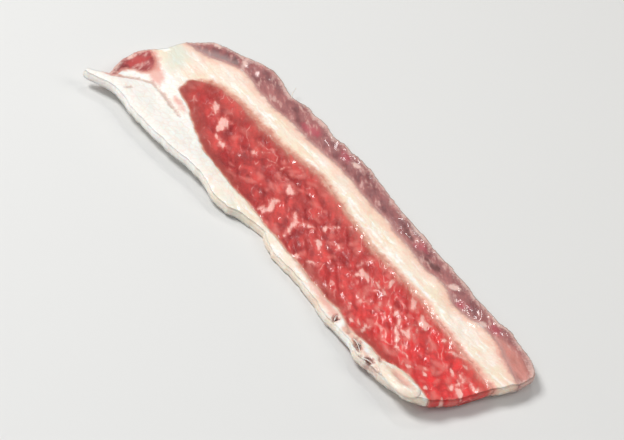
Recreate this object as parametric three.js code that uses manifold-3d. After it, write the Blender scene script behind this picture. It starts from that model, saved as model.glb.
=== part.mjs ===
// A thin slice of raw fatty beef, cut for hot pot. One long marbled muscle has fat on its left side, round
// its back end and along its right side. A thin outer muscle edges the fat on the right, and a scrap of
// another muscle shows at the back left, beside a pointed lobe of fat. Every tissue runs right through.
// Millimetres, +Z up, +X to the slice's right, +Y to its back end. The origin is on the surface that the
// slice lies on, under the middle of its outline.
import * as THREE from 'three';
import { mergeVertices } from 'three/addons/utils/BufferGeometryUtils.js';
import Module from 'manifold-3d';

// Driving sizes
const sliceLength = 125;
const sliceWidth = 47.7;
const tissueGap = 0.3; // between two tissues that touch
const outlineStep = 1.6; // spacing of the points along a cut edge
const reliefStep = 2.6; // spacing of the grid that carries the relief
const spareSize = 8; // how far a cutting outline runs past the slice

// How far each edge of the slice curls up off the surface that it lies on, and how far in the curl reaches.
// The two curls of the left side start at one place along it and are full at another.
const backLeftCurl = { rise: 2.2, reach: 11, from: -4, full: 22 };
const frontLeftCurl = { rise: 1.5, reach: 8, from: -22, full: -44 };
const frontCurl = { rise: 1.6, reach: 16 };
const rightRipple = { rise: 0.8, reach: 6.5, pitch: 31, phase: 0.6 };

// The four tissues: thickness, height and pitch of the lumps on the cut face, raggedness of the edge, finish
const tissues = {
  fat: { thickness: 2.1, relief: 0.15, pitch: 7.5, ragged: 0.26, color: 0xf8ecd9, roughness: 0.42 },
  mainMuscle: { thickness: 2, relief: 0.13, pitch: 5.5, ragged: 0.26, color: 0xc8514f, roughness: 0.36 },
  outerMuscle: { thickness: 1.8, relief: 0.12, pitch: 4.5, ragged: 0.24, color: 0xad7672, roughness: 0.4 },
  cornerMuscle: { thickness: 1.8, relief: 0.12, pitch: 4.5, ragged: 0.2, color: 0xba5553, roughness: 0.38 },
};

// Outline of the slice, anticlockwise from its front left corner
const frontEdge = [[-10, -58.2], [-3.2, -60.8], [5, -61.3], [10.9, -62.3], [18.7, -61.3]];
const rightEdge = [
  [21.1, -55.6], [22.4, -49], [21.3, -42], [21.7, -36], [22.2, -30], [22.2, -22], [21.9, -12], [22, -5],
  [23, 1.5], [23.6, 7.5], [22.7, 14.5], [21.6, 19.5], [22, 27], [21.9, 32], [20.4, 36.8], [21.4, 42.5],
  [20.6, 47.6], [18, 51.2], [15.8, 54.8],
];
const backEdge = [
  [13.2, 60], [5.8, 62], [-1.2, 61.6], [-6.2, 62.4], [-11.2, 61], [-14.6, 58.8], [-17, 56.6], [-18.8, 55.5],
];
const leftEdge = [
  [-20.8, 56.2], [-23.1, 57.4], [-24.1, 56.6], [-23, 54.4], [-21, 51], [-20, 46.4],
  [-20, 41], [-19.4, 32], [-17.2, 22], [-16.2, 16], [-16.6, 9], [-13.4, 2.2], [-11.8, -2.5], [-12.9, -11],
  [-12.2, -21], [-13.1, -30], [-13.2, -38], [-13.8, -43.5], [-13.3, -47], [-12.4, -51.5],
];

// Outline of the long muscle: from the front edge up its left side, round its back end, down its right side
const mainMuscleEdge = [
  [-8.2, -58.2], [-6.9, -54.5], [-6.3, -50.8], [-7.3, -47.8], [-8.9, -45.4], [-9.3, -40.4], [-10.4, -37.8],
  [-10.2, -34.4], [-9.6, -30.6], [-9.8, -26], [-9.9, -10], [-10.1, 6], [-11, 13.6], [-11.1, 19.4],
  [-9.8, 27.6], [-7.4, 35], [-5.4, 40.6], [-5, 45], [-4, 47.2], [-2.4, 47.4], [-1, 49], [1.2, 48.9],
  [3.4, 47], [5.1, 44], [6.6, 36.6], [7.4, 24], [9.4, 14.6], [11.2, 7.4], [10.2, 0.5], [9.1, -10.4],
  [9.1, -19], [9.7, -29], [9.4, -41], [8.9, -50.6], [7.4, -58],
];
// Left side of the outer muscle, from front to back
const outerMuscleEdge = [
  [13.2, -60.6], [14.9, -56.4], [16.6, -52.2], [17.3, -48.4], [17.3, -44.4], [16.2, -40.8], [15.3, -37],
  [16.3, -33.6], [17.3, -31], [16.5, -25.6], [16.5, -18], [16.8, -10], [16.8, 0], [17.2, 7], [16.5, 13.5],
  [15.3, 21], [14.8, 28], [13.9, 34], [13.8, 41], [14, 47.4], [10.8, 53], [8.2, 57], [6.6, 60.8],
];
// Inner side of the corner muscle, from right to left
const cornerMuscleEdge = [
  [-3, 60.6], [-3.8, 57.2], [-5.6, 54.6], [-9.2, 54.5], [-11.2, 56.4], [-13.8, 56.2], [-16, 54.5],
  [-17.8, 53.8], [-19.2, 54.8], [-19.9, 57.6],
];

// A tongue of fat folded over on the front left, its two ends, and the tears in the thin fat behind it
const tongue = { radius: 2.6, flatness: 0.55, back: [-9.3, -49], front: [-9.6, -55.6], raised: 0.1 };
const tears = [
  { place: [-11.4, -31.8], size: [1.1, 0.4], turn: 0.75 },
  { place: [-12, -40.6], size: [1.4, 0.45], turn: 1.1 },
  { place: [-12.3, -45.2], size: [0.9, 0.6], turn: 0.9 },
];

const wasm = await Module();
wasm.setup();

// 0 below low, 1 above high, with an even slope at both ends
const ease = (value, low, high) => THREE.MathUtils.smoothstep(value, low, high);

// A repeatable number from -1 to 1 for a whole number
function scatter(index, seed) {
  const value = Math.sin(index * 127.1 + seed * 311.7) * 43758.5453;
  return 2 * (value - Math.floor(value)) - 1;
}

// Smooth irregular wave along a line, from -1 to 1
function waver(distance, pitch, seed) {
  const index = Math.floor(distance / pitch);
  const share = ease(distance / pitch - index, 0, 1);
  return THREE.MathUtils.lerp(scatter(index, seed), scatter(index + 1, seed), share);
}

// Points along a smooth line through the given ones, pushed sideways a little, as a soft cut edge is
function raggedLine(points, ragged, seed, closed = false) {
  const corners = points.map(([x, y]) => new THREE.Vector3(x, y, 0));
  const curve = new THREE.CatmullRomCurve3(corners, closed, 'centripetal');
  const steps = Math.round(curve.getLength() / outlineStep);
  const line = [];
  for (let i = 0; i < (closed ? steps : steps + 1); i++) {
    const point = curve.getPointAt(i / steps);
    const along = curve.getTangentAt(i / steps);
    const push = ragged * (waver(i * outlineStep, 3.1, seed) + 0.6 * waver(i * outlineStep, 1.6, seed + 9));
    line.push(new THREE.Vector2(point.x - along.y * push, point.y + along.x * push));
  }
  return line;
}

// The same line moved to its right by a distance
function movedRight(line, distance) {
  return line.map((point, i) => {
    const before = line[Math.max(i - 1, 0)];
    const after = line[Math.min(i + 1, line.length - 1)];
    const along = after.clone().sub(before).normalize();
    return new THREE.Vector2(point.x + along.y * distance, point.y - along.x * distance);
  });
}

const sliceEdge = [...frontEdge, ...rightEdge, ...backEdge, ...leftEdge];
const sliceOutline = raggedLine(sliceEdge, tissues.fat.ragged, 1, true);

// Where a line across the slice at y enters and leaves its outline
function spanAt(y) {
  const crossings = [];
  sliceOutline.forEach((a, i) => {
    const b = sliceOutline[(i + 1) % sliceOutline.length];
    if ((a.y <= y) !== (b.y <= y)) crossings.push(a.x + ((y - a.y) / (b.y - a.y)) * (b.x - a.x));
  });
  return [Math.min(...crossings), Math.max(...crossings)];
}

// Height of the underside: flat where the slice lies, and curled up towards its left, front and right edges
function underside(x, y) {
  const [left, right] = spanAt(THREE.MathUtils.clamp(y, -sliceLength / 2 + 7, sliceLength / 2 - 7));
  const curled = ({ rise, reach, from, full }) => {
    const along = THREE.MathUtils.clamp((y - from) / (full - from), 0, 1);
    return rise * ease(along, 0, 1) * (1 - ease(x - left, 0, reach));
  };
  const front = frontCurl.rise * (1 - ease(y + sliceLength / 2, 0, frontCurl.reach));
  const wave = 0.5 + 0.5 * Math.sin((y / rightRipple.pitch + rightRipple.phase) * 2 * Math.PI);
  const ripple = rightRipple.rise * wave * (1 - ease(right - x, 0, rightRipple.reach));
  return curled(backLeftCurl) + curled(frontLeftCurl) + front + ripple;
}

// Thickness of a tissue at a place, with the soft lumps of its cut face
function depth(x, y, { thickness, relief, pitch }) {
  const bend = Math.sin(y / pitch);
  const lumps = Math.sin((4.1 * x) / pitch + 1.3 * bend) * Math.sin((2.7 * y + x) / pitch);
  return thickness + relief * lumps;
}

function solidOf(geometry) {
  const bare = geometry.clone();
  bare.deleteAttribute('normal');
  bare.deleteAttribute('uv');
  const merged = mergeVertices(bare, 1e-4);
  return new wasm.Manifold(new wasm.Mesh({
    numProp: 3,
    vertProperties: merged.attributes.position.array,
    triVerts: new Uint32Array(merged.index.array),
  }));
}

function meshOf(solid, name, { color, roughness }) {
  const { vertProperties, triVerts } = solid.getMesh();
  const shared = new THREE.BufferGeometry();
  shared.setAttribute('position', new THREE.BufferAttribute(new Float32Array(vertProperties), 3));
  shared.setIndex(new THREE.BufferAttribute(new Uint32Array(triVerts), 1));
  const geometry = shared.toNonIndexed();
  geometry.computeVertexNormals();
  const mesh = new THREE.Mesh(geometry, new THREE.MeshStandardMaterial({ color, roughness, metalness: 0 }));
  mesh.name = name;
  return mesh;
}

// A sheet of one tissue over a rectangle, with the slice's curl and the tissue's own relief
function sheet(tissue, minX, maxX, minY, maxY) {
  const width = maxX - minX;
  const length = maxY - minY;
  const cellsAcross = Math.ceil(width / reliefStep);
  const cellsAlong = Math.ceil(length / reliefStep);
  const geometry = new THREE.BoxGeometry(width, length, 1, cellsAcross, cellsAlong, 1);
  geometry.translate((minX + maxX) / 2, (minY + maxY) / 2, 0);
  const position = geometry.attributes.position;
  for (let i = 0; i < position.count; i++) {
    const x = position.getX(i);
    const y = position.getY(i);
    const below = underside(x, y);
    position.setZ(i, position.getZ(i) > 0 ? below + depth(x, y, tissue) : below);
  }
  return solidOf(geometry);
}

// An upright block with the given outline, taller than the slice
function cutter(outline) {
  const height = 40;
  const block = new THREE.ExtrudeGeometry(new THREE.Shape(outline), { depth: height, bevelEnabled: false });
  block.translate(0, 0, -height / 2);
  return solidOf(block);
}

// Two cutters for a muscle. The whole one is the ground that the fat leaves free, and the trimmed one is
// that ground less the gap. Its edge is closed by corners outside the slice.
function muscleCutters(edge, { ragged }, seed, outerCorners) {
  const line = raggedLine(edge, ragged, seed);
  const corners = outerCorners.map(([x, y]) => new THREE.Vector2(x, y));
  const trimmedLine = movedRight(line, tissueGap);
  return { whole: cutter([...line, ...corners]), trimmed: cutter([...trimmedLine, ...corners]) };
}

const backLimit = sliceLength / 2 + spareSize;
const rightLimit = sliceWidth / 2 + spareSize;
const muscles = {
  mainMuscle: muscleCutters(mainMuscleEdge, tissues.mainMuscle, 2, [
    [mainMuscleEdge.at(-1)[0], -backLimit],
    [mainMuscleEdge[0][0], -backLimit],
  ]),
  outerMuscle: muscleCutters(outerMuscleEdge, tissues.outerMuscle, 3, [
    [outerMuscleEdge.at(-1)[0] - 2, backLimit],
    [rightLimit, backLimit],
    [rightLimit, -backLimit],
    [outerMuscleEdge[0][0], -backLimit],
  ]),
  cornerMuscle: muscleCutters(cornerMuscleEdge, tissues.cornerMuscle, 4, [
    [cornerMuscleEdge.at(-1)[0] - 1, backLimit],
    [cornerMuscleEdge[0][0], backLimit],
  ]),
};
const outlineCutter = cutter(sliceOutline);

function muscle(name, minX, maxX, minY, maxY) {
  const solid = sheet(tissues[name], minX, maxX, minY, maxY).intersect(outlineCutter);
  return meshOf(solid.intersect(muscles[name].trimmed), name, tissues[name]);
}

// The folded tongue, a flattened roll that lies on the fat along the slice's edge
function foldedTongue() {
  const back = new THREE.Vector2(...tongue.back);
  const front = new THREE.Vector2(...tongue.front);
  const roll = new THREE.CapsuleGeometry(tongue.radius, back.distanceTo(front), 5, 16);
  roll.scale(1, 1, tongue.flatness);
  roll.rotateZ(back.clone().sub(front).angle() - Math.PI / 2);
  const { x, y } = back.lerp(front, 0.5);
  roll.translate(x, y, underside(x, y) + tissues.fat.thickness + tongue.raised);
  return solidOf(roll);
}

// An upright elliptical pin where the thin fat is torn through
function tearCutter({ place: [x, y], size: [long, wide], turn }) {
  const pin = new THREE.CylinderGeometry(1, 1, 20, 10);
  pin.rotateX(Math.PI / 2);
  pin.scale(long, wide, 1);
  pin.rotateZ(turn);
  pin.translate(x, y, 0);
  return solidOf(pin);
}

function fat() {
  const [halfWidth, halfLength] = [sliceWidth / 2 + 1.2, sliceLength / 2 + 1.2];
  let solid = sheet(tissues.fat, -halfWidth, halfWidth, -halfLength, halfLength).intersect(outlineCutter);
  for (const tear of tears) solid = solid.subtract(tearCutter(tear));
  solid = solid.add(foldedTongue());
  for (const { whole } of Object.values(muscles)) solid = solid.subtract(whole);
  const largest = solid.decompose().sort((a, b) => b.volume() - a.volume())[0];
  return meshOf(largest, 'fat', tissues.fat);
}

const slice = new THREE.Group();
slice.add(
  fat(),
  muscle('mainMuscle', -11.2, 12.8, -sliceLength / 2 - 1, 51),
  muscle('outerMuscle', 3.8, sliceWidth / 2 + 1.5, -sliceLength / 2 - 1, sliceLength / 2 + 1),
  muscle('cornerMuscle', -20, -1.2, 51, sliceLength / 2 + 2),
);
const bounds = new THREE.Box3().setFromObject(slice);
const middle = bounds.getCenter(new THREE.Vector3());
slice.position.set(-middle.x, -middle.y, -bounds.min.z);

export default slice;
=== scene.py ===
import math
import random
import bmesh
import bpy
import numpy as np
from mathutils import Matrix, Vector, noise
from mathutils.bvhtree import BVHTree
from mathutils.kdtree import KDTree


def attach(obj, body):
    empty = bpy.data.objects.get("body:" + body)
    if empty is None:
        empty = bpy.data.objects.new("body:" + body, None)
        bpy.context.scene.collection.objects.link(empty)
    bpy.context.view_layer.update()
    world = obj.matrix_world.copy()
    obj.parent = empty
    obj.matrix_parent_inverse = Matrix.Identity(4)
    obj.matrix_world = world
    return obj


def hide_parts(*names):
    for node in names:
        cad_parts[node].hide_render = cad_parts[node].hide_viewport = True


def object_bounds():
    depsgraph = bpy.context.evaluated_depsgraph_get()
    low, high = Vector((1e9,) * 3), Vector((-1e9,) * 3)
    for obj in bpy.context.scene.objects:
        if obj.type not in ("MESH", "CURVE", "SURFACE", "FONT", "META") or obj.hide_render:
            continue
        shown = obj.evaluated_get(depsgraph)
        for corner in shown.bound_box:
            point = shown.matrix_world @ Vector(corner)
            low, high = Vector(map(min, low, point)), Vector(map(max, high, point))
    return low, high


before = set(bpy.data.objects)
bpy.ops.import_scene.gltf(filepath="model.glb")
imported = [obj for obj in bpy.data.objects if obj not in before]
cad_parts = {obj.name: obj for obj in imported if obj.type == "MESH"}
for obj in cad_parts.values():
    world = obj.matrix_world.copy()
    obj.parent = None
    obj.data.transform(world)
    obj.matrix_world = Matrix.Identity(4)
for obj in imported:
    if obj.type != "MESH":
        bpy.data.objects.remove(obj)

mm = 0.001
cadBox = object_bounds()
scene = bpy.context.scene

# Camera and lights. The camera stands where the photo was taken from, and aims at this slice.
view = {
    "eye": (-220.3 * mm, -250.1 * mm, 266.3 * mm),
    "aim": (0.9 * mm, -3.4 * mm, 2.0 * mm),
    "roll": math.radians(15.14),
    "lens": 114,
}
lamps = [  # place, size, watts, colour; the small one makes the wet glints
    {"place": (-0.28, 0.36, 0.60), "size": 0.28, "power": 4.45, "colour": "#ffffff"},
    {"place": (0.50, -0.30, 0.50), "size": 0.40, "power": 1.5, "colour": "#fff8f0"},
    {"place": (-0.45, -0.35, 0.50), "size": 0.50, "power": 1.3, "colour": "#f6f9ff"},
    {"place": (0.30, 0.34, 0.55), "size": 0.06, "power": 0.45, "colour": "#ffffff"},
]
surround = {"colour": "#eef0f2", "strength": 0.2}
floor = {"size": 3.0, "colour": "#dcdcda", "roughness": 0.75}


def linearColour(hexColour):
    channels = [int(hexColour[i:i + 2], 16) / 255 for i in (1, 3, 5)]
    return tuple(c / 12.92 if c <= 0.04045 else ((c + 0.055) / 1.055) ** 2.4 for c in channels) + (1,)


def addNode(tree, kind, settings=None, links=None):
    node = tree.nodes.new(kind)
    for key, value in (settings or {}).items():
        if isinstance(key, int) or key in node.inputs:
            node.inputs[key].default_value = value
        else:
            setattr(node, key, value)
    for key, source in (links or {}).items():
        tree.links.new(source, node.inputs[key])
    return node


def newMaterial(name):
    material = bpy.data.materials.new(name)
    material.use_nodes = True
    material.node_tree.nodes.clear()
    return material, material.node_tree


def setCamera():
    eye = Vector(view["eye"])
    back = (eye - Vector(view["aim"])).normalized()
    turn = back.to_track_quat("Z", "Y").to_matrix().to_4x4()
    camera = bpy.data.objects.new("camera", bpy.data.cameras.new("camera"))
    camera.matrix_world = Matrix.Translation(eye) @ turn @ Matrix.Rotation(view["roll"], 4, "Z")
    camera.data.lens = view["lens"]
    camera.data.sensor_width = 36
    camera.data.clip_start = 0.01
    scene.collection.objects.link(camera)
    scene.camera = camera


def setLights():
    for i, lamp in enumerate(lamps):
        data = bpy.data.lights.new(f"lamp{i}", "AREA")
        data.size = lamp["size"]
        data.energy = lamp["power"]
        data.color = linearColour(lamp["colour"])[:3]
        light = bpy.data.objects.new(f"lamp{i}", data)
        light.location = lamp["place"]
        light.rotation_euler = Vector(lamp["place"]).to_track_quat("Z", "Y").to_euler()
        scene.collection.objects.link(light)
    scene.world = scene.world or bpy.data.worlds.new("surround")
    scene.world.use_nodes = True
    tree = scene.world.node_tree
    tree.nodes.clear()
    colour = linearColour(surround["colour"])
    glow = addNode(tree, "ShaderNodeBackground", {"Color": colour, "Strength": surround["strength"]})
    addNode(tree, "ShaderNodeOutputWorld", links={"Surface": glow.outputs[0]})


def setFloor():
    bm = bmesh.new()
    bmesh.ops.create_grid(bm, x_segments=1, y_segments=1, size=floor["size"] / 2)
    mesh = bpy.data.meshes.new("floor")
    bm.to_mesh(mesh)
    bm.free()
    piece = bpy.data.objects.new("floor", mesh)
    scene.collection.objects.link(piece)
    material, tree = newMaterial("mattePaintedBoard")
    paint = addNode(tree, "ShaderNodeBsdfPrincipled", {
        "Base Color": linearColour(floor["colour"]), "Roughness": floor["roughness"],
    })
    addNode(tree, "ShaderNodeOutputMaterial", links={"Surface": paint.outputs[0]})
    mesh.materials.append(material)


setCamera()
setLights()
setFloor()
scene.view_settings.view_transform = "Standard"
print("camera, lights and floor are set")

# The slice is one sheet of small cells, shared out between its tissues, so that their faces meet
tissues = ["fat", "mainMuscle", "outerMuscle", "cornerMuscle"]
sheet = {
    "cell": 0.33 * mm,
    "margin": 1.2 * mm,  # round the slice
    "gap": 0.2 * mm,  # farthest that a cell lies from the tissue that takes it
    "probeFrom": (-5 * mm, 15 * mm),  # heights that it is probed from, below and above
    "bridge": 4,  # passes that fill the gaps between tissues and a band round the slice
    "blur": 12,  # passes that smooth away the facets of the solids
    "rimBlur": 6,  # passes that smooth the direction in which the rim is rounded
    "relax": 3,  # passes that even out the cells beside a line
    "thickest": 2.35 * mm,  # what is thicker is the folded tongue, which is a piece of its own
    "fatDepth": 2.1 * mm,
}


def cadTree(name):
    bm = bmesh.new()
    bm.from_mesh(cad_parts[name].data)
    bmesh.ops.remove_doubles(bm, verts=bm.verts[:], dist=0.001 * mm)
    tree = BVHTree.FromBMesh(bm)
    bm.free()
    return tree


trees = [cadTree(name) for name in tissues]


def probe(x, y):  # the tissue at a place, and the heights of its underside and its face
    for i, tree in enumerate(trees):
        below = tree.ray_cast(Vector((x, y, sheet["probeFrom"][0])), Vector((0, 0, 1)))[0]
        if below is None:
            continue
        top = tree.ray_cast(Vector((x, y, sheet["probeFrom"][1])), Vector((0, 0, -1)))[0].z
        if top - below.z > sheet["thickest"]:
            top = below.z + sheet["fatDepth"]
        return i, below.z, top
    return -1, 0.0, 0.0


low, high = (Vector(corner) for corner in cadBox)
spanX, spanY = (high[k] - low[k] + 2 * sheet["margin"] for k in (0, 1))
cellsX, cellsY = math.ceil(spanX / sheet["cell"]), math.ceil(spanY / sheet["cell"])
lineX = np.linspace(low.x - sheet["margin"], high.x + sheet["margin"], cellsX + 1)
lineY = np.linspace(low.y - sheet["margin"], high.y + sheet["margin"], cellsY + 1)
gridX, gridY = np.meshgrid(lineX, lineY, indexing="ij")
found = np.array([[probe(x, y) for y in lineY] for x in lineX])
bottom, top = found[..., 1], found[..., 2]
known = found[..., 0] >= 0


def neighbourMean(values, weights):
    total, count = np.zeros_like(values), np.zeros_like(values)
    for step in ((0, 0), (1, 0), (-1, 0), (0, 1), (0, -1)):
        total += np.roll(values * weights, step, (0, 1))
        count += np.roll(weights * 1.0, step, (0, 1))
    return total / np.maximum(count, 1e-9), count > 0


def smoothed(values, known, blurs):
    values, reached = values.copy(), known.copy()
    for _ in range(sheet["bridge"]):
        mean, touched = neighbourMean(values, reached)
        values = np.where(reached, values, mean)
        reached = reached | touched
    for _ in range(blurs):
        values = np.where(reached, neighbourMean(values, reached)[0], values)
    return values


bottom = smoothed(bottom, known, sheet["blur"])
top = smoothed(top, known, sheet["blur"])
middle = (bottom + top) / 2


def cellTissue(i, j):
    x, y = (lineX[i] + lineX[i + 1]) / 2, (lineY[j] + lineY[j + 1]) / 2
    tissue = probe(x, y)[0]
    if tissue < 0 and middle[i, j] > 0:
        near = [tree.find_nearest(Vector((x, y, middle[i, j])), sheet["gap"])[3] for tree in trees]
        close = [(distance, k) for k, distance in enumerate(near) if distance is not None]
        tissue = min(close)[1] if close else -1
    return tissue


cells = np.array([[cellTissue(i, j) for j in range(cellsY)] for i in range(cellsX)])
print("the solids are probed:", cells.shape, "cells")

# Corners of cells that lie between two tissues, or on the edge of the slice, move onto that line.
framed = np.pad(cells, 1, constant_values=-1)
around = np.stack([framed[:-1, :-1], framed[1:, :-1], framed[:-1, 1:], framed[1:, 1:]])
onLine = (around.min(0) != around.max(0))
onEdge = onLine & (around.min(0) < 0)
inSlice = around.max(0) >= 0
placeX, placeY = gridX.copy(), gridY.copy()
for i, j in zip(*np.nonzero(onLine)):
    spots = []
    for tissue in set(around[:, i, j]) - {-1}:
        spot = trees[tissue].find_nearest(Vector((gridX[i, j], gridY[i, j], middle[i, j])))[0]
        spots.append((spot.x, spot.y))
    placeX[i, j], placeY[i, j] = np.mean(spots, axis=0)
nearLine = neighbourMean(onLine * 1.0, np.ones_like(placeX))[0] > 0
nearLine = (neighbourMean(nearLine * 1.0, np.ones_like(placeX))[0] > 0) & inSlice & ~onLine
for _ in range(sheet["relax"]):
    for place in (placeX, placeY):
        place[nearLine] = neighbourMean(place, inSlice)[0][nearLine]


def distanceTo(marked):  # from every corner of the sheet to the nearest marked one
    tree = KDTree(int(marked.sum()))
    for n, (i, j) in enumerate(zip(*np.nonzero(marked))):
        tree.insert(Vector((placeX[i, j], placeY[i, j], 0)), n)
    tree.balance()
    far = [tree.find(Vector((x, y, 0)))[2] for x, y in zip(placeX.flat, placeY.flat)]
    return np.array(far).reshape(placeX.shape)


def between(a, b):
    return (around == a).any(0) & (around == b).any(0)


toEdge = distanceTo(onEdge)
toMain = distanceTo(between(0, 1))
toOuter = distanceTo(between(0, 2))
toCorner = distanceTo(between(0, 3))
inward = np.stack(np.gradient(smoothed(inSlice * 1.0, np.ones_like(inSlice), sheet["rimBlur"])), -1)
inward /= np.maximum(np.linalg.norm(inward, axis=-1, keepdims=True), 1e-6)
x, y = placeX / mm, placeY / mm  # in millimetres, for the patterns
print("the tissues share their lines")


def ramp(values, start, end):
    share = np.clip((values - start) / (end - start), 0, 1)
    return share * share * (3 - 2 * share)


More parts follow.
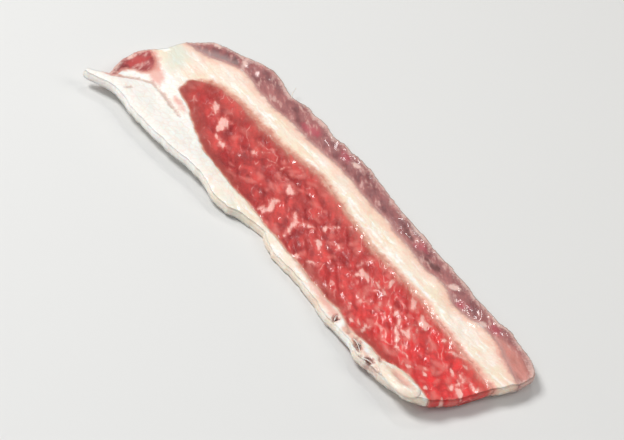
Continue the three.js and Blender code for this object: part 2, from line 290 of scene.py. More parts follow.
# What marks the flesh, in millimetres: each mark is a route and the width at its middle
marks = {
    "streaks": [  # pale marbling of the long muscle, from the back end to the front
        {"route": [(1.6, 39.8), (0.3, 37.6), (-1.1, 35.2)], "width": 1.2},
        {"route": [(0.8, 33.7), (-1.1, 31.8), (-3.1, 29.9)], "width": 1.6},
        {"route": [(-4.6, 28.7), (-5.0, 26.4), (-4.7, 24.0)], "width": 1.1},
        {"route": [(2.2, 7.8), (1.1, 5.2)], "width": 1.0},
        {"route": [(-7.9, 2.0), (-5.5, 3.2), (-3.3, 5.4)], "width": 1.7},
        {"route": [(-7.7, -5.8), (-4.9, -3.9), (-2.7, -2.8), (-1.8, -0.4)], "width": 1.0},
        {"route": [(-3.1, -2.9), (-1.3, -4.3), (-0.4, -5.8)], "width": 1.1},
        {"route": [(-2.2, -10.4), (-3.1, -12.6)], "width": 1.0},
        {"route": [(2.5, -21.0), (2.0, -24.0)], "width": 1.7},
        {"route": [(-1.4, -27.5), (-4.0, -29.9)], "width": 1.1},
        {"route": [(0.9, -30.4), (-0.9, -32.0), (-1.1, -33.8)], "width": 0.6},
        {"route": [(2.3, -31.2), (1.2, -33.8)], "width": 1.1},
        {"route": [(1.6, -36.6), (0.0, -38.6), (0.7, -40.9), (2.6, -41.3), (3.7, -39.8)], "width": 0.7},
        {"route": [(3.2, -53.3), (2.0, -56.3)], "width": 0.8},
        {"route": [(0.4, -58.3), (-0.8, -60.9)], "width": 1.0},
        {"route": [(4.0, -58.8), (2.8, -61.0)], "width": 0.9},
    ],
    "specks": [  # softer, salmon pink ones
        {"route": [(-1.8, 48.2), (-0.6, 45.6)], "width": 1.1},
        {"route": [(1.2, 48.6), (1.4, 45.8)], "width": 1.2},
        {"route": [(-6.6, 13.7), (-4.4, 11.5)], "width": 1.5},
        {"route": [(4.8, 12.8), (7.1, 11.4)], "width": 1.2},
        {"route": [(4.8, -0.8), (3.8, 1.8)], "width": 0.8},
        {"route": [(5.7, -14.2), (4.3, -16.2)], "width": 1.2},
        {"route": [(-7.7, -15.8), (-8.6, -17.9)], "width": 1.0},
        {"route": [(6.9, -33.2), (5.8, -35.4)], "width": 1.3},
        {"route": [(-7.3, -31.6), (-8.6, -33.4)], "width": 1.1},
        {"route": [(-5.6, -41.2), (-6.4, -43.8)], "width": 1.2},
        {"route": [(-5.0, -34.0), (-4.2, -36.0)], "width": 1.3},
        {"route": [(-4.2, -46.4), (-3.6, -48.4)], "width": 1.2},
        {"route": [(-2.6, -49.4), (-1.8, -51.0)], "width": 1.0},
        {"route": [(0.2, -50.6), (-1.2, -52.6)], "width": 0.8},
        {"route": [(-4.5, -57.1), (-5.7, -58.9)], "width": 1.2},
        {"route": [(4.5, -43.8), (3.9, -46.6)], "width": 1.5},
    ],
    "deep": [  # bundles of darker lean
        {"route": [(1.2, 36.8), (2.4, 34.6)], "width": 1.6},
        {"route": [(-3.6, 27.0), (-1.4, 28.8), (0.6, 30.6)], "width": 1.2},
        {"route": [(-0.9, 24.0), (0.4, 21.6)], "width": 1.6},
        {"route": [(-8.6, 20.0), (-6.4, 17.2)], "width": 1.8},
        {"route": [(-7.5, 15.1), (-5.7, 15.5), (-3.9, 16.0)], "width": 2.0},
        {"route": [(-6.0, -6.6), (-3.3, -6.2)], "width": 1.9},
        {"route": [(5.2, 6.1), (4.4, 3.5)], "width": 1.3},
        {"route": [(-3.8, 46.6), (-3.6, 44.4)], "width": 1.8},
        {"route": [(2.9, 46.4), (3.2, 44.4)], "width": 1.5},
        {"route": [(-0.8, -1.7), (0.6, -3.3)], "width": 1.1},
        {"route": [(-7.6, -1.6), (-5.8, -3.7)], "width": 1.2},
        {"route": [(-3.6, -31.2), (-2.2, -33.0)], "width": 1.1},
        {"route": [(4.3, -31.3), (3.4, -33.6)], "width": 1.1},
        {"route": [(4.7, -37.9), (3.0, -39.8)], "width": 1.0},
        {"route": [(-5.0, 10.6), (-8.0, 7.8)], "width": 1.0},
        {"route": [(1.4, -48.8), (0.0, -50.8)], "width": 0.9},
        {"route": [(-16.6, 54.4), (-14.4, 57.4), (-11.8, 59.4)], "width": 1.1},
        {"route": [(14.5, 52.6), (12.9, 50.6)], "width": 1.6},
        {"route": [(-13.2, 58.6), (-11.4, 56.8)], "width": 1.3},
        {"route": [(19.4, -12.4), (18.8, -17.0)], "width": 0.9},
        {"route": [(18.4, -22.4), (18.9, -27.4)], "width": 1.3},
    ],
    "rosy": [  # fresher patches of the outer muscle and the corner scrap
        {"route": [(17.5, 26.0), (18.5, 21.6)], "width": 3.2},
        {"route": [(20.8, 14.4), (19.8, 11.2)], "width": 1.8},
        {"route": [(19.1, -17.2), (19.6, -20.0)], "width": 2.2},
        {"route": [(15.9, -36.4), (17.9, -38.4)], "width": 3.0},
        {"route": [(19.4, -44.8), (19.2, -48.0)], "width": 2.2},
        {"route": [(-11.4, 57.6), (-8.6, 58.6), (-5.2, 59.4)], "width": 3.2},
    ],
    "pale": [  # membrane and white fat
        {"route": [(14.0, 48.4), (15.8, 50.4), (17.2, 51.8)], "width": 1.0},
        {"route": [(13.5, 60.0), (13.1, 57.6)], "width": 1.5},
        {"route": [(11.4, -2.0), (11.8, -12.0), (11.4, -24.0), (11.8, -38.0)], "width": 0.6},
        {"route": [(18.1, -31.2), (19.5, -33.0)], "width": 1.8},
        {"route": [(17.2, -43.4), (18.6, -44.6)], "width": 1.4},
        {"route": [(20.7, 10.6), (21.7, 8.2)], "width": 1.6},
        {"route": [(22.1, 15.8), (22.8, 15.2)], "width": 1.3},
        {"route": [(-15.4, 55.0), (-12.6, 54.6)], "width": 1.6},
        {"route": [(-0.9, 61.0), (0.7, 60.4)], "width": 1.6},
        {"route": [(-10.3, 60.0), (-7.5, 61.2)], "width": 0.8},
        {"route": [(-10.2, -32.8), (-11.8, -34.0), (-13.3, -35.1)], "width": 1.5},
        {"route": [(-13.4, -35.6), (-13.2, -37.8), (-13.6, -40.0)], "width": 1.6},
        {"route": [(-9.6, -39.8), (-10.5, -41.6), (-11.3, -43.2), (-11.1, -44.6)], "width": 1.0},
    ],
    "pink": [  # fat stained by the lean
        {"route": [(-9.5, -12.0), (-10.2, -22.0), (-11.0, -30.0), (-11.6, -38.0), (-11.6, -46.0)],
         "width": 1.8},
        {"route": [(-5.4, 55.2), (-7.0, 52.2), (-7.8, 49.0)], "width": 3.8},
        {"route": [(-6.8, 44.0), (-7.4, 38.0)], "width": 1.6},
        {"route": [(18.4, -48.0), (17.4, -53.0), (16.2, -58.0), (15.6, -63.0)], "width": 4.6},
    ],
    "shadedCrease": [  # where the wedge of white fat joins the rest, and other folds; their membrane tint is deepened as painted shade
        {"route": [(-18.2, 53.6), (-14.6, 53.0), (-11.2, 52.2), (-9.2, 50.2), (-8.9, 45.6), (-9.2, 40.6),
                   (-9.4, 37.2)], "width": 0.6},
        {"route": [(-17.2, 48.2), (-15.6, 49.0)], "width": 0.7},
        {"route": [(-9.8, -34.0), (-10.5, -35.6), (-11.7, -37.0)], "width": 0.7},
        {"route": [(-12.9, -47.4), (-12.4, -49.0)], "width": 0.8},
    ],
    "shadedPits": [  # torn places that don't go right through; the fat in them is darkened with painted shade
        {"route": [(-10.2, -46.2), (-9.4, -45.5), (-8.7, -44.9)], "width": 1.1},
        {"route": [(-10.8, -38.4), (-12.0, -40.6), (-12.9, -42.6)], "width": 1.7},
        {"route": [(-13.3, -46.4), (-12.3, -45.3), (-11.4, -44.2)], "width": 2.2},
        {"route": [(-12.5, -32.6), (-10.5, -31.1)], "width": 1.3},
        {"route": [(-12.9, -44.0), (-13.5, -43.6)], "width": 0.8},
    ],
    "grey": [  # where the fat or the membrane is clear and takes on a grey green cast, and a painted bluish grey highlight on the outer muscle
        {"route": [(-2.4, 53.0), (1.9, 58.0), (5.3, 62.4)], "width": 6.0},
        {"route": [(4.2, 63.4), (7.0, 58.8), (9.6, 55.6), (13.8, 51.2)], "width": 3.2},
        {"route": [(16.5, 8.0), (15.3, 5.0)], "width": 2.4},
        {"route": [(-14.5, 10.0), (-13.5, 2.0)], "width": 2.2},
        # painted bluish grey highlight on the outer muscle
        {"route": [(21.3, -12.6), (21.3, -16.8)], "width": 1.6},
    ],
}
scatter = {  # small marks of the long muscle, which mostly run with its bundles
    "heading": math.radians(58), "spread": 0.5, "stride": 0.7, "swerve": 0.7,
    "xSpan": (-11, 13), "ySpan": (-62, 50),  # mm
    "streaks": {"count": 48, "steps": 6, "width": (0.3, 0.8), "seed": 11},
    "specks": {"count": 110, "steps": 4, "width": (0.5, 1.4), "seed": 12},
    "deep": {"count": 130, "steps": 5, "width": (0.3, 0.9), "seed": 13},
}


def strokeField(strokes, farthest=3.5):  # how far each corner lies outside the nearest stroke, in mm
    field = np.full(x.shape, farthest)
    for stroke in strokes:
        route = stroke["route"]
        for n, ((ax, ay), (bx, by)) in enumerate(zip(route, route[1:])):
            columns = np.searchsorted(lineX, [(min(ax, bx) - farthest) * mm, (max(ax, bx) + farthest) * mm])
            rows = np.searchsorted(lineY, [(min(ay, by) - farthest) * mm, (max(ay, by) + farthest) * mm])
            part = np.s_[columns[0]:columns[1], rows[0]:rows[1]]
            dx, dy = bx - ax, by - ay
            share = np.clip(((x[part] - ax) * dx + (y[part] - ay) * dy) / (dx * dx + dy * dy), 0, 1)
            away = np.hypot(x[part] - ax - share * dx, y[part] - ay - share * dy)
            along = 2 * (n + share) / (len(route) - 1) - 1
            half = stroke["width"] / 2 * (1 - 0.8 * along ** 2)  # thin at both ends
            field[part] = np.minimum(field[part], away - half)
    return field


def scatteredPlace(draw):  # somewhere in the long muscle, more often towards the front
    while True:
        a, b = draw.uniform(*scatter["xSpan"]), draw.uniform(*scatter["ySpan"])
        if draw.random() > 0.5 + 0.5 * (b / scatter["ySpan"][0]):
            continue
        i, j = np.searchsorted(lineX, a * mm), np.searchsorted(lineY, b * mm)
        if cells[min(i, cellsX - 1), min(j, cellsY - 1)] == 1:
            return a, b


def scattered(settings):
    draw = random.Random(settings["seed"])
    strokes = []
    for _ in range(settings["count"]):
        route = [scatteredPlace(draw)]
        heading = draw.gauss(scatter["heading"], scatter["spread"])
        for _ in range(draw.randint(1, settings["steps"])):
            heading += draw.uniform(-scatter["swerve"], scatter["swerve"])
            a, b = route[-1]
            dx, dy = scatter["stride"] * math.cos(heading), scatter["stride"] * math.sin(heading)
            route.append((a + dx, b + dy))
        strokes.append({"route": route, "width": draw.uniform(*settings["width"])})
    return strokes


# What the materials read, one value for each corner of the sheet
rightSide = ramp(x, 0, 6)
stain = rightSide * (0.4 + 0.6 * ramp(y, 5, 18))  # mm that the red has run into the fat
dullSpans = [  # where the lean is dull beside the fat on its left: y from and to, and how dull
    {"back": 90, "front": 11, "share": 1.0},
    {"back": -14, "front": -31, "share": 0.9},
    {"back": -36, "front": -48, "share": 1.0},
]
dullness = 0
for span in dullSpans:
    pastFront = ramp(y, span["front"] - 4, span["front"] + 4)
    beforeBack = ramp(-y, -span["back"] - 2, -span["back"] + 2)
    dullness = dullness + span["share"] * pastFront * beforeBack
leanSeam = (toMain / mm + stain) / (0.7 + 2.7 * rightSide)  # lean and fat run into each other
fatSeam = (toMain / mm - stain) / (0.5 + 0.9 * rightSide)
fields = {
    "toEdge": toEdge / mm,
    "toOuter": toOuter / mm,
    "toCorner": toCorner / mm,
    "seam": fatSeam,
    "dullSide": (1 - rightSide) * dullness,
    "backWedge": ramp(-x, 1, 6) * ramp(y, 0, 24),
    "front": ramp(-y, 4, 55),
}
for key, strokes in marks.items():
    fields[key] = strokeField(strokes + (scattered(scatter[key]) if key in scatter else []))
print("the marbling is laid out")

# Fine relief of each tissue on the face, and a mirrored share of it on the underside where that doesn't lie
# flat
relief = {  # mm: height, and length along and across the bundles
    "fat": {"height": 0.09, "along": 3.6, "across": 1.9, "seed": 3},
    "mainMuscle": {"height": 0.16, "along": 3.4, "across": 1.15, "seed": 4},
    "outerMuscle": {"height": 0.12, "along": 2.4, "across": 0.9, "seed": 5},
    "cornerMuscle": {"height": 0.12, "along": 2.4, "across": 1.0, "seed": 6},
}
carving = {  # mm: how deep the lines and torn places go, and how far the marbling stands up
    "seam": 0.07, "outerSeam": 0.05, "shadedCrease": 0.22, "shadedPits": 0.45, "marbling": 0.05,
    "underShare": 0.4,  # of the relief that the underside has, where it doesn't lie flat
}
along = x * math.cos(scatter["heading"]) + y * math.sin(scatter["heading"])
across = y * math.cos(scatter["heading"]) - x * math.sin(scatter["heading"])
raised = np.zeros_like(x)
for k, name in enumerate(tissues):
    grain = relief[name]
    share = (around == k).mean(0)
    for i, j in zip(*np.nonzero(share)):
        spot = Vector((along[i, j] / grain["along"], across[i, j] / grain["across"], grain["seed"] * 7.3))
        raised[i, j] += share[i, j] * grain["height"] * noise.fractal(spot, 1.0, 2.0, 3)
raised -= carving["seam"] * (1 - rightSide) * np.exp(-(toMain / (0.3 * mm)) ** 2)  # only where it is crisp
raised -= carving["outerSeam"] * np.exp(-(toOuter / (0.4 * mm)) ** 2)
raised += carving["marbling"] * ramp(-fields["streaks"], -0.3, 0.4)
raised -= carving["shadedCrease"] * ramp(-fields["shadedCrease"], -0.6, 0.2)
raised -= carving["shadedPits"] * ramp(-fields["shadedPits"], -0.2, 0.4)
face = top + raised * mm
back = bottom - carving["underShare"] * raised * mm * ramp(bottom, 0.3 * mm, 0.8 * mm)
rim = {"radius": 0.42, "cuts": 5, "ragged": 0.16, "lump": 0.9, "drop": 0.16, "lift": 0.05}  # mm


def addPiece(bm, name):
    mesh = bpy.data.meshes.new(name)
    bm.to_mesh(mesh)
    bm.free()
    piece = bpy.data.objects.new(name, mesh)
    scene.collection.objects.link(piece)
    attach(piece, "root")
    print(name, "has", len(mesh.polygons), "faces")
    return piece


def tissuePiece(name):
    number = tissues.index(name)
    values = {**fields, "seam": leanSeam if name == "mainMuscle" else fatSeam}
    bm = bmesh.new()
    bmesh.ops.create_grid(bm, x_segments=cellsX, y_segments=cellsY, size=0.5)
    column, row = bm.verts.layers.int.new("column"), bm.verts.layers.int.new("row")
    for v in bm.verts:
        v[column], v[row] = round((v.co.x + 0.5) * cellsX), round((v.co.y + 0.5) * cellsY)
    def tissueOf(f):
        return cells[min(v[column] for v in f.verts), min(v[row] for v in f.verts)]
    bmesh.ops.delete(bm, geom=[f for f in bm.faces if tissueOf(f) != number], context="FACES")
    share = bm.verts.layers.float.new("share")  # 0 at the underside, 1 at the face
    pull = bm.verts.layers.float_vector.new("pull")  # inward, on the slice's own edge
    layers = {key: bm.verts.layers.float.new(key) for key in fields}
    lid = bmesh.ops.extrude_face_region(bm, geom=bm.faces[:], use_keep_orig=True)
    lidVerts = {v for v in lid["geom"] if isinstance(v, bmesh.types.BMVert)}
    for v in bm.verts:
        i, j = v[column], v[row]
        v[share] = 1.0 if v in lidVerts else 0.0
        v.co = (placeX[i, j], placeY[i, j], face[i, j] if v in lidVerts else back[i, j])
        if onEdge[i, j]:
            v[pull] = Vector((*inward[i, j], 0))
        for key, layer in layers.items():
            v[layer] = values[key][i, j]
    walls = [e for e in bm.edges if (e.verts[0] in lidVerts) != (e.verts[1] in lidVerts)]
    for e in {e for v in lidVerts for e in v.link_edges}:
        if any(len({v in lidVerts for v in f.verts}) > 1 for f in e.link_faces):  # at the rim of the lid
            e.smooth = e.verts[0][pull].length > 0 and e.verts[1][pull].length > 0
    bmesh.ops.subdivide_edges(bm, edges=walls, cuts=rim["cuts"], use_grid_fill=True)
    radius = rim["radius"] * mm
    for v in bm.verts:
        if v[pull].length < 0.5:
            continue
        away = abs(2 * v[share] - 1)
        ragged = rim["ragged"] * mm * (0.5 + 0.5 * noise.noise(v.co / (rim["lump"] * mm)))
        v.co += v[pull] * (radius * (1 - math.sqrt(max(1 - away ** 4, 0))) + ragged)
        v.co.z -= (v[share] > 0.99) * rim["drop"] * mm - (v[share] < 0.01) * rim["lift"] * mm
    bmesh.ops.recalc_face_normals(bm, faces=bm.faces[:])
    for f in bm.faces:
        f.smooth = True
    piece = addPiece(bm, name + "Flesh")
    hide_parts(name)
    return piece


def layTint(tree, colour, tint, attribute, ragged, reach, full):  # lays a tint where an attribute is small
    near = addNode(tree, "ShaderNodeAttribute", {"attribute_name": attribute})
    uneven = addNode(tree, "ShaderNodeMath", {"operation": "ADD"}, {0: near.outputs["Fac"], 1: ragged})
    settings = {"interpolation_type": "SMOOTHSTEP", 1: reach[1], 2: reach[0], 3: 0.0, 4: full}
    share = addNode(tree, "ShaderNodeMapRange", settings, {0: uneven.outputs[0]})
    mix = addNode(tree, "ShaderNodeMix", {"data_type": "RGBA", 7: linearColour(tint)},
                  {0: share.outputs[0], 6: colour})
    return mix.outputs[2]


def seamColour(tree, look):  # tan at the back of the slice, pink at its front
    front = addNode(tree, "ShaderNodeAttribute", {"attribute_name": "front"})
    settings = {"data_type": "RGBA", 6: linearColour(look["seam"]), 7: linearColour(look["seamFront"])}
    return addNode(tree, "ShaderNodeMix", settings, {0: front.outputs["Fac"]}).outputs[2]


def raggedEdge(tree, coarse, fine, look):  # what is added to a distance, so that a mark's edge is uneven
    parts = []
    for source, most in zip((coarse, fine), look["ragged"]):
        swing = addNode(tree, "ShaderNodeMapRange", {1: 0.3, 2: 0.7, 3: -most, 4: most}, {0: source})
        parts.append(swing.outputs[0])
    both = addNode(tree, "ShaderNodeMath", {"operation": "ADD"}, {0: parts[0], 1: parts[1]})
    return both.outputs[0], parts


def finishMaterial(tree, look, colour, wetness, height):
    glossy, dull = look["roughness"]
    gloss = addNode(tree, "ShaderNodeMapRange", {1: 0.32, 2: 0.68, 3: glossy, 4: dull}, {0: wetness})
    bump = addNode(tree, "ShaderNodeBump", {"Strength": look["bump"], "Distance": 0.3 * mm},
                   {"Height": height})
    shader = addNode(tree, "ShaderNodeBsdfPrincipled", {
        "Subsurface Weight": look["depth"], "Subsurface Scale": 1.0 * mm, "Subsurface Radius": look["glow"],
        "IOR": look["ior"], "Coat Weight": look["wet"], "Coat Roughness": 0.1, "Coat IOR": 1.33,
    }, {"Base Color": colour, "Roughness": gloss.outputs[0], "Normal": bump.outputs[0]})
    addNode(tree, "ShaderNodeOutputMaterial", links={"Surface": shader.outputs[0]})


# Raw lean beef, freshly sliced: red, with bundles of fibre cut slantwise, wisps of fat and a film of juice.
# Sizes are in mm. A tint lists the mark it follows, its colour, where it ends and is full, and its share.
lean = {
    "deep": "#aa3434", "fresh": "#cb4a45", "front": "#e03a3a", "dark": "#86262a", "dull": "#a24e45",
    "speck": "#e37a71", "vein": "#fac3b8", "toast": "#c27162", "seam": "#e0aa94", "seamFront": "#f0ae9c",
    "wander": 2.4, "stray": 1.2,  # how far apart and how far the bundles swerve
    "stretch": 2.8, "heading": scatter["heading"],
    "cloud": 3.0, "bundle": 1.6, "wisp": 3.0, "grain": 0.45,
    "frontShare": 0.85, "shade": (0.76, 1.22), "mottle": (0.92, 1.08),
    "wispWidth": 0.03, "wispShare": 0.55,
    "ragged": (0.3, 0.12), "tearing": 2.4,  # the marbling is more ragged than the rest
    "marks": [("deep", "dark", (-0.6, 0.7), 0.5), ("specks", "speck", (-0.5, 0.7), 0.65)],
    "marbling": [("streaks", "speck", (-0.2, 0.75), 0.6), ("streaks", "vein", (-0.45, 0.25), 0.88)],
    "dullReach": (0.5, 6.0), "dullShare": 0.7, "toastReach": (0.1, 1.2), "toastShare": 0.6,
    "seamReach": (-0.12, 0.55),
    "roughness": (0.24, 0.46), "bump": 0.5, "depth": 0.3, "glow": (1.0, 0.3, 0.22), "ior": 1.38, "wet": 0.6,
}


def leanMaterial():
    material, tree = newMaterial("wetRawLeanBeef")
    place = addNode(tree, "ShaderNodeTexCoord").outputs["Object"]
    wander = addNode(tree, "ShaderNodeTexNoise", {"Scale": 1000 / lean["wander"], "Detail": 2.0},
                     {"Vector": place})
    warped = addNode(tree, "ShaderNodeVectorMath", {
        "operation": "MULTIPLY_ADD", 1: (lean["stray"] * mm,) * 3,
    }, {0: wander.outputs["Color"], 2: place})
    bundled = addNode(tree, "ShaderNodeMapping", {
        "vector_type": "TEXTURE", 2: (0, 0, lean["heading"]), 3: (lean["stretch"], 1, 1),
    }, {0: warped.outputs[0]}).outputs[0]
    noises = {}
    for key, detail, source in (("cloud", 2.0, bundled), ("bundle", 3.0, bundled), ("wisp", 1.5, bundled),
                                ("grain", 3.0, place)):
        texture = addNode(tree, "ShaderNodeTexNoise", {"Scale": 1000 / lean[key], "Detail": detail},
                          {"Vector": source})
        noises[key] = texture.outputs[0]
    # deeper at the back, fresher towards the front end
    share = addNode(tree, "ShaderNodeMapRange", {1: 0.35, 2: 0.65}, {0: noises["cloud"]})
    red = addNode(tree, "ShaderNodeMix", {
        "data_type": "RGBA", 6: linearColour(lean["deep"]), 7: linearColour(lean["fresh"]),
    }, {0: share.outputs[0]})
    front = addNode(tree, "ShaderNodeAttribute", {"attribute_name": "front"})
    share = addNode(tree, "ShaderNodeMath", {"operation": "MULTIPLY", 1: lean["frontShare"]},
                    {0: front.outputs["Fac"]})
    red = addNode(tree, "ShaderNodeMix", {"data_type": "RGBA", 7: linearColour(lean["front"])},
                  {0: share.outputs[0], 6: red.outputs[2]})
    dim, bright = lean["shade"]
    shade = addNode(tree, "ShaderNodeMapRange", {1: 0.32, 2: 0.68, 3: dim, 4: bright}, {0: noises["bundle"]})
    dim, bright = lean["mottle"]
    mottle = addNode(tree, "ShaderNodeMapRange", {1: 0.3, 2: 0.7, 3: dim, 4: bright}, {0: noises["grain"]})
    both = addNode(tree, "ShaderNodeMath", {"operation": "MULTIPLY"},
                   {0: shade.outputs[0], 1: mottle.outputs[0]})
    colour = addNode(tree, "ShaderNodeVectorMath", {"operation": "SCALE"},
                     {0: red.outputs[2], 3: both.outputs[0]}).outputs[0]
    # wisps of fat lie along the lines where a slow noise passes its middle value, and come and go
    offLine = addNode(tree, "ShaderNodeMath", {"operation": "SUBTRACT", 1: 0.5}, {0: noises["wisp"]})
    offLine = addNode(tree, "ShaderNodeMath", {"operation": "ABSOLUTE"}, {0: offLine.outputs[0]})
    wisp = addNode(tree, "ShaderNodeMapRange", {
        "interpolation_type": "SMOOTHSTEP", 1: lean["wispWidth"], 2: 0.0,
    }, {0: offLine.outputs[0]})
    present = addNode(tree, "ShaderNodeMapRange", {1: 0.5, 2: 0.66, 3: 0.0, 4: lean["wispShare"]},
                      {0: noises["bundle"]})
    wisp = addNode(tree, "ShaderNodeMath", {"operation": "MULTIPLY"},
                   {0: wisp.outputs[0], 1: present.outputs[0]})
    colour = addNode(tree, "ShaderNodeMix", {"data_type": "RGBA", 7: linearColour(lean["vein"])},
                     {0: wisp.outputs[0], 6: colour}).outputs[2]
    # the placed and scattered marks, with edges that the grain makes ragged
    ragged, (coarse, fine) = raggedEdge(tree, noises["bundle"], noises["grain"], lean)
    torn = addNode(tree, "ShaderNodeMath", {"operation": "MULTIPLY_ADD", 1: lean["tearing"]},
                   {0: coarse, 2: fine}).outputs[0]
    for edge, tints in ((ragged, lean["marks"]), (torn, lean["marbling"])):
        for mark, tint, reach, full in tints:
            colour = layTint(tree, colour, lean[tint], mark, edge, reach, full)
    # the lean is dull beside the white wedge, and runs out softly into the fat on its right side
    dull = addNode(tree, "ShaderNodeAttribute", {"attribute_name": "dullSide"})
    near = addNode(tree, "ShaderNodeAttribute", {"attribute_name": "seam"})
    share = addNode(tree, "ShaderNodeMapRange", {
        "interpolation_type": "SMOOTHSTEP", 1: lean["dullReach"][1], 2: lean["dullReach"][0],
        3: 0.0, 4: lean["dullShare"],
    }, {0: near.outputs["Fac"]})
    share = addNode(tree, "ShaderNodeMath", {"operation": "MULTIPLY"},
                    {0: share.outputs[0], 1: dull.outputs["Fac"]})
    colour = addNode(tree, "ShaderNodeMix", {"data_type": "RGBA", 7: linearColour(lean["dull"])},
                     {0: share.outputs[0], 6: colour}).outputs[2]
    halfRagged = addNode(tree, "ShaderNodeMath", {"operation": "MULTIPLY", 1: 0.5}, {0: ragged}).outputs[0]
    colour = layTint(tree, colour, lean["toast"], "seam", halfRagged, lean["toastReach"], lean["toastShare"])
    uneven = addNode(tree, "ShaderNodeMath", {"operation": "ADD"}, {0: halfRagged, 1: near.outputs["Fac"]})
    share = addNode(tree, "ShaderNodeMapRange", {
        "interpolation_type": "SMOOTHSTEP", 1: lean["seamReach"][1], 2: lean["seamReach"][0],
    }, {0: uneven.outputs[0]})
    colour = addNode(tree, "ShaderNodeMix", {"data_type": "RGBA"},
                     {0: share.outputs[0], 6: colour, 7: seamColour(tree, lean)}).outputs[2]
    height = addNode(tree, "ShaderNodeMath", {"operation": "MULTIPLY_ADD", 1: 0.35},
                     {0: noises["grain"], 2: noises["bundle"]})
    finishMaterial(tree, lean, colour, noises["cloud"], height.outputs[0])
    return material


# Raw beef fat, cold: waxy ivory in soft lobes, whitest in the wedge at the back left, blushed by the lean.
# Sizes and tints are written as for the lean.
fatLook = {
    "ivory": "#f7e8d9", "cream": "#f0e1c8", "white": "#fefdf7", "grey": "#dbdfd0", "blush": "#f3c2ae",
    # membrane is the grey pink of the creases, deepened there as painted shade
    "stain": "#e9a596", "membraneAndShade": "#c49a8c", "torn": "#a8716a", "toast": lean["toast"],
    "seam": lean["seam"], "seamFront": lean["seamFront"], "outerSeam": "#c99790",
    "wander": 1.6, "stray": 1.4, "stretch": 6.0, "heading": math.radians(92),
    "cloud": 6.0, "lobe": 1.9, "thread": 1.1, "grain": 0.7,
    "threads": [("blush", (0.55, 0.66), 0.42), ("white", (0.46, 0.36), 0.75)],
    "wedgeShare": 0.8, "filmWidth": 0.12, "filmShare": 0.2, "seamReach": (-0.12, 1.0), "ragged": (0.4, 0.2),
    "marks": [
        ("grey", "grey", (-2.8, 2.2), 0.8), ("toOuter", "blush", (0.0, 3.4), 0.8),
        ("pink", "stain", (-0.9, 0.9), 0.75), ("toCorner", "stain", (0.0, 1.5), 0.9),
        ("toOuter", "outerSeam", (-0.1, 0.9), 0.8), ("pale", "white", (-0.6, 0.6), 0.9),
        # torn is a dark mauve laid in the pits as painted shade
        ("shadedCrease", "membraneAndShade", (-0.3, 0.7), 0.7), ("shadedPits", "torn", (-0.3, 0.4), 0.65),
    ],
    "stained": ("toast", (-0.7, 0.3), 0.75),
    "roughness": (0.3, 0.5), "bump": 0.3, "depth": 0.45, "glow": (1.2, 0.8, 0.6), "ior": 1.45, "wet": 0.45,
}


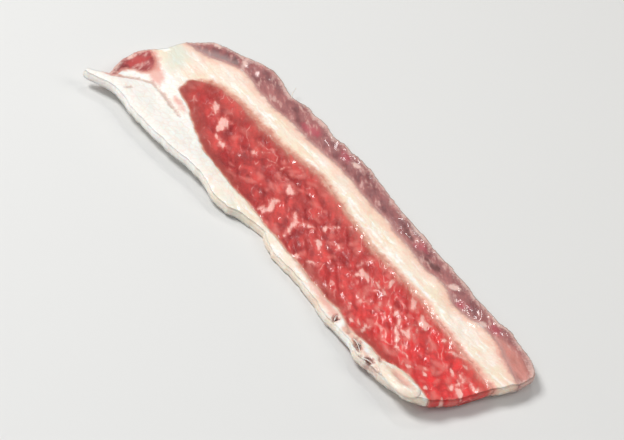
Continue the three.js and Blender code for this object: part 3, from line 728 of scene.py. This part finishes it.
def fatMaterial():
    material, tree = newMaterial("waxyRawBeefFat")
    place = addNode(tree, "ShaderNodeTexCoord").outputs["Object"]
    wander = addNode(tree, "ShaderNodeTexNoise", {"Scale": 1000 / fatLook["wander"], "Detail": 2.0},
                     {"Vector": place})
    warped = addNode(tree, "ShaderNodeVectorMath", {
        "operation": "MULTIPLY_ADD", 1: (fatLook["stray"] * mm,) * 3,
    }, {0: wander.outputs["Color"], 2: place}).outputs[0]
    drawn = addNode(tree, "ShaderNodeMapping", {
        "vector_type": "TEXTURE", 2: (0, 0, fatLook["heading"]), 3: (fatLook["stretch"], 1, 1),
    }, {0: warped}).outputs[0]
    noises = {}
    for key, detail, source in (("cloud", 3.0, place), ("grain", 4.0, place), ("thread", 4.0, drawn)):
        texture = addNode(tree, "ShaderNodeTexNoise", {"Scale": 1000 / fatLook[key], "Detail": detail},
                          {"Vector": source})
        noises[key] = texture.outputs[0]
    share = addNode(tree, "ShaderNodeMapRange", {1: 0.4, 2: 0.65}, {0: noises["cloud"]})
    colour = addNode(tree, "ShaderNodeMix", {
        "data_type": "RGBA", 6: linearColour(fatLook["ivory"]), 7: linearColour(fatLook["cream"]),
    }, {0: share.outputs[0]}).outputs[2]
    # long threads, pinkish and white, that run down the slice with the fat
    for tint, (start, end), full in fatLook["threads"]:
        share = addNode(tree, "ShaderNodeMapRange", {1: start, 2: end, 3: 0.0, 4: full},
                        {0: noises["thread"]})
        colour = addNode(tree, "ShaderNodeMix", {"data_type": "RGBA", 7: linearColour(fatLook[tint])},
                         {0: share.outputs[0], 6: colour}).outputs[2]
    # the wedge is whitest
    wedge = addNode(tree, "ShaderNodeAttribute", {"attribute_name": "backWedge"})
    share = addNode(tree, "ShaderNodeMath", {"operation": "MULTIPLY", 1: fatLook["wedgeShare"]},
                    {0: wedge.outputs["Fac"]})
    colour = addNode(tree, "ShaderNodeMix", {"data_type": "RGBA", 7: linearColour(fatLook["white"])},
                     {0: share.outputs[0], 6: colour}).outputs[2]
    # faint films between the lobes
    lobes = addNode(tree, "ShaderNodeTexVoronoi", {
        "feature": "DISTANCE_TO_EDGE", "Scale": 1000 / fatLook["lobe"],
    }, {"Vector": warped})
    film = addNode(tree, "ShaderNodeMapRange", {
        "interpolation_type": "SMOOTHSTEP", 1: fatLook["filmWidth"], 2: 0.0, 3: 0.0, 4: fatLook["filmShare"],
    }, {0: lobes.outputs[0]})
    colour = addNode(tree, "ShaderNodeMix", {"data_type": "RGBA", 7: linearColour(fatLook["blush"])},
                     {0: film.outputs[0], 6: colour}).outputs[2]
    ragged = raggedEdge(tree, wander.outputs[0], noises["grain"], fatLook)[0]
    for mark, tint, reach, full in fatLook["marks"]:
        colour = layTint(tree, colour, fatLook[tint], mark, ragged, reach, full)
    # it mixes with the lean at their seam, and the red has run into it on the right
    near = addNode(tree, "ShaderNodeAttribute", {"attribute_name": "seam"})
    uneven = addNode(tree, "ShaderNodeMath", {"operation": "MULTIPLY_ADD", 1: 0.5},
                     {0: ragged, 2: near.outputs["Fac"]})
    share = addNode(tree, "ShaderNodeMapRange", {
        "interpolation_type": "SMOOTHSTEP", 1: fatLook["seamReach"][1], 2: fatLook["seamReach"][0],
    }, {0: uneven.outputs[0]})
    colour = addNode(tree, "ShaderNodeMix", {"data_type": "RGBA"},
                     {0: share.outputs[0], 6: colour, 7: seamColour(tree, fatLook)}).outputs[2]
    tint, reach, full = fatLook["stained"]
    colour = layTint(tree, colour, fatLook[tint], "seam", ragged, reach, full)
    height = addNode(tree, "ShaderNodeMath", {"operation": "MULTIPLY_ADD", 1: 0.4},
                     {0: noises["grain"], 2: noises["thread"]})
    finishMaterial(tree, fatLook, colour, noises["cloud"], height.outputs[0])
    return material


# Thin outer muscle, browned by the air: dull mauve, streaked along its length, with a pale skin at its rim.
# Sizes and tints are written as for the lean, and a torn mark's edge is more ragged.
outerLook = {
    "light": "#b37370", "dark": "#824f50", "rosy": "#bd5560", "deep": "#5e3836", "skin": "#e8c6bb",
    "grey": "#a69391", "blush": "#e09688", "seam": fatLook["outerSeam"],
    "strand": 1.3, "stretch": 2.6, "heading": math.radians(64), "cloud": 5.0, "grain": 0.5,
    "threadShare": 0.5, "ragged": (0.35, 0.15), "tearing": 2.2, "torn": ("rosy", "toEdge"),
    "marks": [
        ("rosy", "rosy", (-1.2, 1.1), 0.75), ("pink", "blush", (-1.2, 1.4), 0.68),
        # on the outer muscle the grey tint is partly a painted highlight
        ("deep", "deep", (-0.5, 0.6), 0.7), ("grey", "grey", (-1.0, 1.4), 0.7),
    ],
    "rims": [("toEdge", "skin", (0.1, 1.7), 0.72), ("toOuter", "seam", (-0.1, 1.2), 0.85)],
    "spots": [("pale", "skin", (-0.5, 0.5), 0.9)],
    "roughness": (0.32, 0.5), "bump": 0.45, "depth": 0.25, "glow": (1.0, 0.4, 0.3), "ior": 1.38, "wet": 0.5,
}
# The scrap of the next muscle at the corner: red, mottled, rimmed with pale skin
cornerLook = dict(
    outerLook, light="#ba605e", dark="#8b393b", rosy="#c7504e", deep="#742a2c", skin="#f0c9bd",
    seam=fatLook["stain"], heading=math.radians(35),
    rims=[("toEdge", "skin", (0.1, 1.4), 0.72), ("toCorner", "seam", (-0.1, 1.0), 0.85)],
)


def outerMaterial(name, look):
    material, tree = newMaterial(name)
    place = addNode(tree, "ShaderNodeTexCoord").outputs["Object"]
    stranded = addNode(tree, "ShaderNodeMapping", {
        "vector_type": "TEXTURE", 2: (0, 0, look["heading"]), 3: (look["stretch"], 1, 1),
    }, {0: place}).outputs[0]
    noises = {}
    for key, detail, source in (("strand", 4.0, stranded), ("grain", 3.0, place), ("cloud", 3.0, place)):
        texture = addNode(tree, "ShaderNodeTexNoise", {"Scale": 1000 / look[key], "Detail": detail},
                          {"Vector": source})
        noises[key] = texture.outputs[0]
    both = addNode(tree, "ShaderNodeMath", {"operation": "ADD"}, {0: noises["strand"], 1: noises["cloud"]})
    share = addNode(tree, "ShaderNodeMapRange", {1: 0.78, 2: 1.2}, {0: both.outputs[0]})
    colour = addNode(tree, "ShaderNodeMix", {
        "data_type": "RGBA", 6: linearColour(look["dark"]), 7: linearColour(look["light"]),
    }, {0: share.outputs[0]}).outputs[2]
    thread = addNode(tree, "ShaderNodeMapRange", {1: 0.57, 2: 0.7, 3: 0.0, 4: look["threadShare"]},
                     {0: noises["strand"]})
    colour = addNode(tree, "ShaderNodeMix", {"data_type": "RGBA", 7: linearColour(look["skin"])},
                     {0: thread.outputs[0], 6: colour}).outputs[2]
    ragged = raggedEdge(tree, noises["strand"], noises["grain"], look)[0]
    torn = addNode(tree, "ShaderNodeMath", {"operation": "MULTIPLY", 1: look["tearing"]}, {0: ragged})
    for mark, tint, reach, full in look["marks"] + look["rims"] + look["spots"]:
        edge = torn.outputs[0] if mark in look["torn"] else ragged
        colour = layTint(tree, colour, look[tint], mark, edge, reach, full)
    height = addNode(tree, "ShaderNodeMath", {"operation": "MULTIPLY_ADD", 1: 0.35},
                     {0: noises["grain"], 2: noises["strand"]})
    finishMaterial(tree, look, colour, noises["cloud"], height.outputs[0])
    return material


# The tongue of fat folded over at the front left: it wraps the slice's edge and has a hollow in its face
tongue = {
    "back": (-9.38, -49.16), "front": (-9.68, -55.76), "radius": 2.6, "height": 0.94,  # mm
    "rounds": 96, "rings": 64, "hug": 1.3, "wrap": 1.2, "lumps": 0.12, "lump": 1.4,
    "hollow": 0.8, "hollowWidth": 1.2, "hollowSide": 0.1, "hollowLength": 0.6,  # length as a share
}
farOff = 9.0  # mm, for a piece that a mark or a seam doesn't reach


def faceAt(x, y):  # height of the slice's face at a place, in mm
    return face[np.searchsorted(lineX, x * mm), np.searchsorted(lineY, y * mm)] / mm


def foldedTongue():
    back, front = Vector(tongue["back"]), Vector(tongue["front"])
    centre, along = (back + front) / 2, (back - front).normalized()
    reach = (back - front).length / 2 + tongue["radius"]
    bm = bmesh.new()
    layers = {key: bm.verts.layers.float.new(key) for key in fields}
    bmesh.ops.create_uvsphere(bm, u_segments=tongue["rounds"], v_segments=tongue["rings"], radius=1)
    for v in bm.verts:
        plump = math.sqrt(1 - min(abs(v.co.z), 1) ** 2.6)
        ring = max(math.hypot(v.co.x, v.co.y), 1e-6)
        side, up = v.co.x / ring, v.co.y / ring  # side 1 is the free edge, which lies on the lean
        across = tongue["radius"] * plump * side * (tongue["wrap"] if side < 0 else 1)
        sideways = (across - tongue["hollowSide"]) / tongue["hollowWidth"]
        hollow = math.exp(-sideways ** 2 - (v.co.z / tongue["hollowLength"]) ** 2)
        if up > 0:
            lift = tongue["height"] * plump * up ** 0.75 - tongue["hollow"] * hollow
        else:
            lift = up * plump * (0.25 + tongue["hug"] * max(-side, 0))
        for key, layer in layers.items():
            v[layer] = 0.0 if key in ("dullSide", "backWedge") else farOff
        v[layers["front"]] = 1.0
        v[layers["pink"]] = 0.9 - 2.3 * hollow * max(up, 0)
        spot = centre + along * v.co.z * reach + Vector((along.y, -along.x)) * across
        lumps = tongue["lumps"] * noise.fractal(Vector((*spot, up)) / tongue["lump"], 1.0, 2.0, 3)
        v.co = Vector((spot.x, spot.y, faceAt(*spot) + lift + lumps * plump)) * mm
    bmesh.ops.recalc_face_normals(bm, faces=bm.faces[:])
    for f in bm.faces:
        f.smooth = True
    piece = addPiece(bm, "foldedTongue")
    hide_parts("fat")
    return piece


# Loose fibres, in mm: two stand out from the right edge, and pale threads hang over the tears
fibres = {
    "routes": [
        [(19.3, 34.9, -0.3), (20.2, 36.1, -0.1), (21.4, 37.5, -0.1), (22.8, 38.4, 0.2)],
        [(21.3, 14.6, -0.3), (22.2, 15.2, -0.1), (22.9, 15.9, -0.1)],
        [(-11.6, -38.4, -0.2), (-11.7, -39.8, 0.1), (-12.1, -41.2, 0.2), (-12.8, -42.9, 0.2)],
        [(-11.0, -39.6, -0.2), (-11.3, -41.0, 0.1), (-12.0, -42.4, 0.2), (-12.2, -43.8, 0.1)],
        [(-13.2, -44.4, -0.2), (-12.6, -45.0, -0.1), (-12.2, -45.9, -0.2), (-12.0, -47.0, -0.3)],
        [(-10.6, -31.2, -0.1), (-11.3, -31.6, 0.2), (-12.1, -32.4, 0.2)],
    ],
    "width": 0.34, "taper": 0.8, "sides": 8,
}


def looseFibres():
    bm = bmesh.new()
    layers = {key: bm.verts.layers.float.new(key) for key in fields}
    for route in fibres["routes"]:
        ground = faceAt(*route[0][:2])
        points = [Vector((a, b, ground + lift)) * mm for a, b, lift in route]
        heading = (points[1] - points[0]).to_track_quat("Z", "Y").to_matrix().to_4x4()
        root = bmesh.ops.create_circle(
            bm, cap_ends=True, segments=fibres["sides"], radius=fibres["width"] / 2 * mm,
            matrix=Matrix.Translation(points[0]) @ heading)
        cap = root["verts"][0].link_faces[0]
        for start, end in zip(points, points[1:]):
            grown = bmesh.ops.extrude_face_region(bm, geom=[cap])["geom"]
            cap = next(f for f in grown if isinstance(f, bmesh.types.BMFace))
            bmesh.ops.translate(bm, verts=cap.verts[:], vec=end - start)
            bmesh.ops.scale(bm, verts=cap.verts[:], vec=(fibres["taper"],) * 3,
                            space=Matrix.Translation(-end))
    for v in bm.verts:
        for key, layer in layers.items():
            v[layer] = 0.0 if key == "dullSide" else farOff
        v[layers["backWedge"]] = 0.4
    bmesh.ops.recalc_face_normals(bm, faces=bm.faces[:])
    for f in bm.faces:
        f.smooth = True
    return addPiece(bm, "looseFibres")


fatFlesh = fatMaterial()
tissuePiece("fat").data.materials.append(fatFlesh)
foldedTongue().data.materials.append(fatFlesh)
looseFibres().data.materials.append(fatFlesh)
tissuePiece("mainMuscle").data.materials.append(leanMaterial())
outerFlesh = outerMaterial("airedRawLeanBeef", outerLook)
tissuePiece("outerMuscle").data.materials.append(outerFlesh)
scrapFlesh = outerMaterial("rawLeanBeefScrap", cornerLook)
tissuePiece("cornerMuscle").data.materials.append(scrapFlesh)
